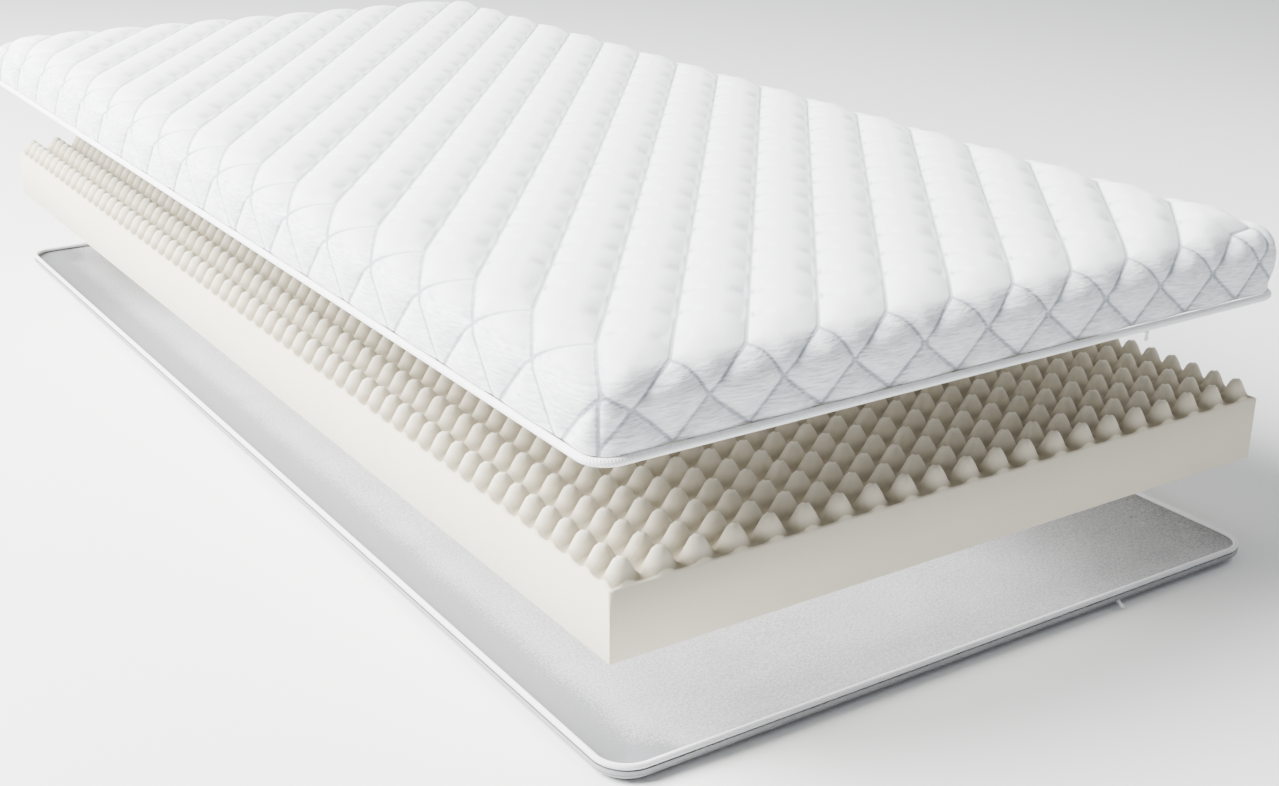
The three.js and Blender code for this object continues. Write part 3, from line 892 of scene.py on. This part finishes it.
def bottom_cloth():
    """A thin sheet whose rim turns up. Outside, it stands on a quarter circle; inside, it falls
    from the rim's top by the power 1.45 of the distance still to go, over 58 mm, to the flat floor.
    The floor is very slightly uneven, and the outside has a narrow welt with the zip's closed row,
    a bell curve of the height."""
    skin = Surface()
    points, way, walked = rounded_rectangle(
        *CLOTH_HALF, CLOTH_CORNER, *CLOTH_SPANS, CLOTH_TURNS
    )
    middle = np.clip(points, -(CLOTH_HALF - CLOTH_CORNER), CLOTH_HALF - CLOTH_CORNER)

    def loops(inset, height):
        """Loops a distance in from the outline: square to it as far as the corners' radius, then
        drawn in towards the middle."""
        inset = np.asarray(inset)[:, None, None]
        beside = points - way * inset
        shrink = np.clip((CLOTH_HALF - inset) / (CLOTH_HALF - CLOTH_CORNER), 0, 1)
        flat = np.where(inset <= CLOTH_CORNER, beside, middle * shrink)
        z = np.broadcast_to(np.asarray(height)[:, None, None], (*flat.shape[:2], 1))
        return np.concatenate([flat + CLOTH_MID, z], axis=2)

    def marks(away):
        """The pattern: the way along the rim, and a distance for each loop."""
        return np.stack(np.broadcast_arrays(walked[None, :], away[:, None]), axis=2)

    turn = np.radians(np.linspace(0, 90, RIM_TURNS))
    inset, height = CLOTH_RIM * (1 - np.sin(turn)), CLOTH_RIM * (1 - np.cos(turn))
    from_welt = height - WELT_HEIGHT
    welt = WELT_OUT * np.exp(-((from_welt / WELT_WIDTH) ** 2))
    under = loops(
        np.concatenate([FLOOR_INSETS[::-1], inset - welt]),
        np.concatenate([0 * FLOOR_INSETS, height]),
    )
    outside = skin.add(under)
    plain = np.ones(len(FLOOR_INSETS))
    skin.quads(wrapped(outside), marks(np.concatenate([plain, np.abs(from_welt)])))
    inset = np.concatenate([SLOPE_INSETS, FLOOR_INSETS[FLOOR_INSETS > SLOPE_INSETS[-1]]])
    fall = np.clip((SLOPE_REACH - inset) / (SLOPE_REACH - CLOTH_THICK), 0, 1) ** SLOPE_POWER
    upper = loops(inset, CLOTH_THICK + (CLOTH_RIM - CLOTH_THICK) * fall)
    x, y = upper[..., 0], upper[..., 1]
    calm = np.clip((inset - CALM_START) / CALM_REACH, 0, 1)[:, None]
    upper[..., 2] += calm * UNEVEN * np.sin(x * 11 + 1.3 * np.sin(y * 4)) * np.sin(y * 7 + 0.6)
    inside = skin.add(upper)
    skin.quads(wrapped(inside), marks(FAR + inset))
    lip = wrapped(np.array([outside[-1], inside[0]]))
    skin.quads(lip, np.full((*lip.shape, 2), FAR))
    return skin


# ---------------------------------------------------------------- pipings

PIPING_SPANS, PIPING_TURNS, PIPING_SIDES = (122, 276), 12, 12


def piping(mid, half, corner, radius, z):
    """A cord of round section carried round a rounded rectangle."""
    skin = Surface()
    points, way, walked = rounded_rectangle(
        *(half - radius), corner - radius, *PIPING_SPANS, PIPING_TURNS
    )
    angle = np.linspace(0, tau, PIPING_SIDES + 1)
    flat = points[None] + radius * np.cos(angle)[:, None, None] * way[None]
    height = np.broadcast_to(z + radius * np.sin(angle)[:, None, None], (*flat.shape[:2], 1))
    grid = np.concatenate([flat + mid, height], axis=2)
    numbers = skin.add(grid[:-1])
    numbers = np.concatenate([numbers, numbers[:1]])
    pattern = np.stack(np.broadcast_arrays(walked[None, :], (angle / tau)[:, None]), axis=2)
    skin.quads(wrapped(numbers), pattern)
    return skin


# ---------------------------------------------------------------- zip pulls

# the distance down, half the width and half the thickness
PULL_SECTIONS = np.array([
    (0, 2.0, 1.0), (0.4, 2.4, 1.4), (2.8, 2.4, 1.4), (3.4, 2.0, 1.1), (4.0, 1.7, 0.8),
    (6.0, 2.4, 0.8), (8.5, 3.3, 0.8), (9.8, 3.0, 0.8), (10.9, 2.1, 0.8), (11.5, 1.0, 0.5),
]) * MM

PULL_SIDES, PULL_ROUND = 16, 0.45


def zip_pull(place, lean):
    """A slider and a flat tab in one: rounded rectangles of changing width down its length, each
    with the cosine and sine of an angle, to the power 0.45, as its two coordinates. It leans out
    by an angle in degrees."""
    skin = Surface()
    angle = np.linspace(0, tau, PULL_SIDES + 1)[:-1]
    ring = np.stack([np.cos(angle), np.sin(angle)])
    across, through = np.sign(ring) * np.abs(ring) ** PULL_ROUND
    down, wide, thick = PULL_SECTIONS.T[..., None]
    x = across * wide
    y = through * thick
    z = np.broadcast_to(-down, x.shape)
    turn = -radians(lean)
    grid = np.stack([x, y * cos(turn) - z * sin(turn), y * sin(turn) + z * cos(turn)], axis=2)
    numbers = skin.add(grid + np.array(place))
    skin.quads(wrapped(numbers), out=False)
    skin.fan(numbers[0])
    skin.fan(numbers[-1], out=False)
    return skin


# ---------------------------------------------------------------- the pieces

SMOOTH, SMALL_SMOOTH = 60, 50                 # degrees, on cloth and foam, and on small pieces

cover = quilted_cover().finish("cover_cloth", quilt_material(), SMOOTH)
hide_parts("quilted_cover")

core = foam_core().finish("core_foam", foam_material(), SMOOTH)
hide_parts("foam_core")

cloth = bottom_cloth().finish("bottom_sheet", bottom_material(), SMOOTH)
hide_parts("bottom_cloth")

COVER_CORD_HALF, COVER_CORD_CORNER = np.array([467.0, 1014.0]) * MM, 32 * MM
COVER_CORD_RADIUS, COVER_CORD_HEIGHT = 4.2 * MM, 332.5 * MM
CLOTH_CORD_RADIUS, CLOTH_CORD_HEIGHT = 3.3 * MM, 17.6 * MM

cover_weave = piping_material(
    "cover_cord", colour(0.97, 0.97, 0.975), colour(0.74, 0.75, 0.77), 3.0 * MM
)
cover_cord = piping(
    COVER_MID, COVER_CORD_HALF, COVER_CORD_CORNER, COVER_CORD_RADIUS, COVER_CORD_HEIGHT
).finish("cover_cord", cover_weave, SMALL_SMOOTH)
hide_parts("cover_piping")

cloth_weave = piping_material(
    "cloth_cord", colour(0.82, 0.82, 0.83), colour(0.60, 0.605, 0.62), 2.6 * MM
)
cloth_cord = piping(
    CLOTH_MID, CLOTH_HALF, CLOTH_CORNER, CLOTH_CORD_RADIUS, CLOTH_CORD_HEIGHT
).finish("cloth_cord", cloth_weave, SMALL_SMOOTH)
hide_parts("cloth_piping")

pull_finish = pull_material()
upper_pull = zip_pull((0.243, -0.9993, 0.328), 0).finish("cover_pull", pull_finish, SMALL_SMOOTH)
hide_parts("cover_zip_pull")
lower_pull = zip_pull((0.233, -1.0123, 0.0075), 60).finish("cloth_pull", pull_finish, SMALL_SMOOTH)
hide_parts("cloth_zip_pull")


# ---------------------------------------------------------------- floor and light

FLOOR_HALF, FLOOR_DROP = 30.0, 0.4 * MM       # the floor lies a little under the bottom cloth


def add_floor():
    """A plain pale floor, far wider than the object."""
    mesh = bpy.data.meshes.new("floor")
    corners = [(x * FLOOR_HALF, y * FLOOR_HALF, 0) for x, y in ((-1, -1), (1, -1), (1, 1), (-1, 1))]
    mesh.from_pydata(corners, [], [(0, 1, 2, 3)])
    shop = Shop("floor")
    shader = shop.node(
        "ShaderNodeBsdfPrincipled", None,
        {"Base Color": colour(0.8, 0.8, 0.8), "Roughness": 0.9, "Specular IOR Level": 0.1},
    )[0]
    shop.node("ShaderNodeOutputMaterial", None, {"Surface": shader})
    mesh.materials.append(shop.material)
    floor = bpy.data.objects.new("floor", mesh)
    floor.location.z = -FLOOR_DROP
    bpy.context.scene.collection.objects.link(floor)


def add_light(name, place, target, size, power):
    """A large soft panel that faces its target: places and sizes in metres, power in watts."""
    data = bpy.data.lights.new(name, "AREA")
    data.shape = "RECTANGLE"
    data.size, data.size_y = size
    data.energy = power
    lamp = bpy.data.objects.new(name, data)
    lamp.location = place
    lamp.rotation_euler = (Vector(target) - Vector(place)).to_track_quat("-Z", "Y").to_euler()
    bpy.context.scene.collection.objects.link(lamp)


def add_world():
    """An even, slightly cool light from all round."""
    world = bpy.data.worlds.new("studio")
    world.use_nodes = True
    background = world.node_tree.nodes["Background"]
    background.inputs["Color"].default_value = (0.91, 0.955, 1.0, 1.0)
    background.inputs["Strength"].default_value = 0.43
    bpy.context.scene.world = world


add_floor()
add_world()
# the key stands high over the left long side
add_light("key", (-3.3, 1.3, 3.5), (-0.2, 0.0, 0.2), (3.2, 3.2), 1950.0)
# a weak panel under the core keeps the bottom cloth from sinking into its shade
add_light("fill", (-0.097, -0.18, 0.1275), (-0.097, -0.18, 0.0), (0.66, 1.60), 17.5)
# a soft one from the right lifts the last peaks and the end of the near short wall
add_light("side", (2.6, -0.9, 1.4), (0.35, -0.6, 0.22), (1.6, 1.6), 34.0)


def plain(box):
    return [[float(v) for v in corner] for corner in box]
